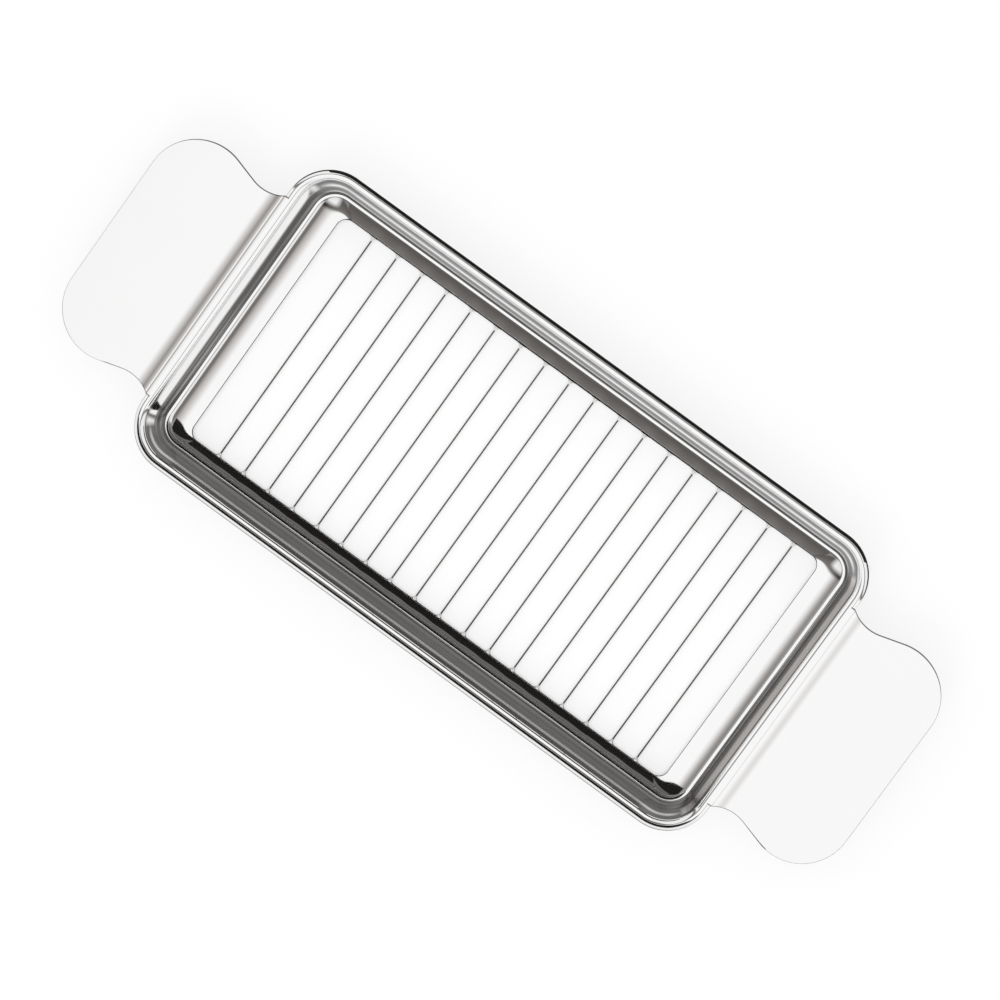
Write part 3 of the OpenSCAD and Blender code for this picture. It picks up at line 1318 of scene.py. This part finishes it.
@dataclass
class Studio:
    """Floor, light and camera.

    Attributes:
        tilt: how far the camera leans from straight down towards the +Y side, in degrees.
        lean: how far it leans along X, in degrees.
        roll: turn of the camera about its own axis, in degrees.
        distance: distance of the camera from the floor's middle.
        focal_pixels: focal length in pixels of the photograph.
        off_x: how far the slicer's middle lies right of the picture's, in pixels.
        off_y: how far it lies below.
        sensor: width of the camera's sensor, in millimetres.
        floor_half: half the floor's width.
        paper: colour of the floor.
        glow: how much of the floor's white doesn't depend on light, near the slicer and beyond.
        glow_x: where the change between them starts and ends along X.
        glow_y: the same along Y.
        ground_reach: how far the floor's painted shade in reflections reaches along Y, in millimetres.
        ground_aside: the floor's tone in reflections beside the slicer, on the -Y side.
        patch_tone: tone of the sky's patch at the corners of the room.
        patch: for X and for Y, the offset of the patch's middle, its start and its full strength.
        lamp_place: place of the lamp.
        lamp_size: its diameter.
        lamp_power: its power, in watts.
    """

    tilt: float = 7.22
    lean: float = -2.508
    roll: float = -35.76
    distance: float = 1.070
    focal_pixels: float = 4345.4
    off_x: float = 2.79
    off_y: float = -2.21
    sensor: float = 36.0
    floor_half: float = 3.0
    paper: Colour = (0.93, 0.93, 0.93)
    glow: Point2 = (0.40, 0.82)
    glow_x: Point2 = (80 * MM, 84 * MM)
    glow_y: Point2 = (38 * MM, 40 * MM)
    ground_reach: float = 120.0
    ground_aside: Colour = (0.8, 0.8, 0.8)
    patch_tone: Colour = (0.9, 0.9, 0.9)
    patch: tuple[tuple[str, float, float, float], ...] = (("X", 0.04, 0.15, 0.24), ("Y", 0.125, 0.16, 0.26))
    lamp_place: Point3 = (0.15, -1.0, 1.1)
    lamp_size: float = 0.7
    lamp_power: float = 4.0

    def camera(self) -> bpy.types.Object:
        """Places the camera at the photograph's viewing angle.

        Returns:
            The camera.
        """
        data = bpy.data.cameras.new("photo_camera")
        data.sensor_width = self.sensor
        data.lens = self.focal_pixels / PHOTO_PIXELS * self.sensor
        data.clip_start = 0.01
        data.clip_end = 20.0
        made = placed("photo_camera", data)
        to_camera = (Matrix.Rotation(math.radians(self.roll), 3, "Z")
                     @ Matrix.Rotation(math.radians(self.tilt), 3, "X")
                     @ Matrix.Rotation(math.radians(self.lean), 3, "Y"))
        to_world = to_camera.transposed()
        pixel = self.distance / self.focal_pixels
        place = to_world @ Vector((-self.off_x * pixel, self.off_y * pixel, self.distance))
        made.matrix_world = Matrix.Translation(place) @ to_world.to_4x4()
        bpy.context.scene.camera = made
        return made

    def floor(self) -> bpy.types.Object:
        """Lays the pale floor, whose picture is white and which keeps a soft shadow; mirrors see it with
        painted shade.

        Returns:
            The floor.
        """
        half = self.floor_half
        corners = [(-half, -half, 0.0), (half, -half, 0.0), (half, half, 0.0), (-half, half, 0.0)]
        made = flat_object("studio_floor", corners)
        paint, wiring = bare_material("pale_floor")
        parts = wiring.split(wiring.add("ShaderNodeNewGeometry").outputs["Position"])
        aside = self.beyond(wiring, parts["X"], *self.glow_x)
        behind = self.beyond(wiring, parts["Y"], *self.glow_y)
        matt = wiring.add("ShaderNodeBsdfDiffuse", {"Color": self.paper}).outputs["BSDF"]
        white = wiring.add("ShaderNodeEmission").outputs["Emission"]
        glow = wiring.add("ShaderNodeMapRange", {
            "Value": wiring.maths("MAXIMUM", aside, behind), "To Min": self.glow[0], "To Max": self.glow[1]})
        lit = wiring.add("ShaderNodeMixShader", {"Fac": glow.outputs["Result"], 1: matt, 2: white})
        # Mirrors see the floor with painted shade: dark bands under the walls and beyond the +Y side, paler
        # beyond the ends on the -Y side.
        pale = wiring.maths("MULTIPLY", aside, wiring.maths("LESS_THAN", parts["Y"], 0.0))
        across = wiring.maths("MULTIPLY_ADD", parts["Y"], 0.5 / (self.ground_reach * MM), 0.5)
        tone = wiring.blend(pale, wiring.grey(across, GROUND_PAINTED_SHADE, self.ground_reach), self.ground_aside)
        mirrored = wiring.add("ShaderNodeEmission", {"Color": tone}).outputs["Emission"]
        surface = wiring.for_mirrors(lit.outputs["Shader"], mirrored)
        wiring.add("ShaderNodeOutputMaterial", {"Surface": surface})
        made.data.materials.append(paint)
        return made

    @staticmethod
    def beyond(wiring: Wiring, place: Socket, near: float, far: float) -> Socket:
        """Grows from 0 to 1 while a place goes from near to far out, to either side."""
        return wiring.fade(wiring.maths("ABSOLUTE", place), near, far)

    def sky(self) -> None:
        """Builds the surroundings: plain white, and in reflections the tones of the two tables."""
        world = bpy.data.worlds.new("studio")
        bpy.context.scene.world = world
        world.use_nodes = True
        world.node_tree.nodes.clear()
        wiring = Wiring(world.node_tree)
        parts = wiring.split(wiring.add("ShaderNodeTexCoord").outputs["Generated"])
        across = self.leaning(wiring, parts["Y"], ACROSS_TONES)
        along = self.leaning(wiring, parts["X"], ALONG_TONES)
        both = wiring.add("ShaderNodeVectorMath", {0: across, 1: along}, operation="MULTIPLY")
        corner = wiring.maths("MULTIPLY", *(
            self.beyond(wiring, wiring.maths("ADD", parts[axis], offset), start, full)
            for axis, offset, start, full in self.patch))
        tone = wiring.blend(corner, both.outputs["Vector"], self.patch_tone)
        room = wiring.add("ShaderNodeBackground", {"Color": tone, "Strength": 1.0}).outputs["Background"]
        plain = wiring.add("ShaderNodeBackground", {"Color": (1.0, 1.0, 1.0), "Strength": 1.0})
        surface = wiring.for_mirrors(plain.outputs["Background"], room)
        wiring.add("ShaderNodeOutputWorld", {"Surface": surface})

    @staticmethod
    def leaning(wiring: Wiring, side: Socket, tones: list[Point2]) -> Socket:
        """The grey for a direction, by how far it leans from straight up to one side."""
        turned = wiring.maths("MULTIPLY_ADD", wiring.maths("ARCSINE", side), 1 / math.pi, 0.5)
        return wiring.grey(turned, tones, 90.0)

    def lamp(self) -> bpy.types.Object:
        """Hangs the large soft lamp on the -Y side, which makes the floor's shadows.

        Returns:
            The lamp.
        """
        data = bpy.data.lights.new("soft_lamp", "AREA")
        data.shape = "DISK"
        data.size = self.lamp_size
        data.energy = self.lamp_power
        made = placed("soft_lamp", data)
        place = Vector(self.lamp_place)
        made.matrix_world = Matrix.Translation(place) @ place.to_track_quat("Z", "Y").to_matrix().to_4x4()
        made.visible_glossy = False
        return made


def main() -> None:
    """Builds the slicer and its studio, and reports each piece."""
    logging.basicConfig(level=logging.INFO, format="%(name)s: %(message)s")
    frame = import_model()
    bpy.context.scene.view_settings.view_transform = "Standard"
    plan, section, wing = Plan(), Section(), WingPlan()
    studio = Studio()
    studio.camera()
    sheet = PressedSheet(plan, section, wing).build()
    log.info("%s: %d faces", sheet.name, len(sheet.data.polygons))
    roll = RolledEdge(plan, section, wing).build()
    log.info("%s: %d faces", roll.name, len(roll.data.polygons))
    for row in WireJoints(plan, section).build():
        log.info("%s: %d faces", row.name, len(row.data.polygons))
    log.info("wires dressed: %d", CuttingWires().dress(frame["nodes"]))
    studio.floor()
    for card in CARDS:
        card.hang()
    studio.sky()
    studio.lamp()


if __name__ == "__main__":
    main()
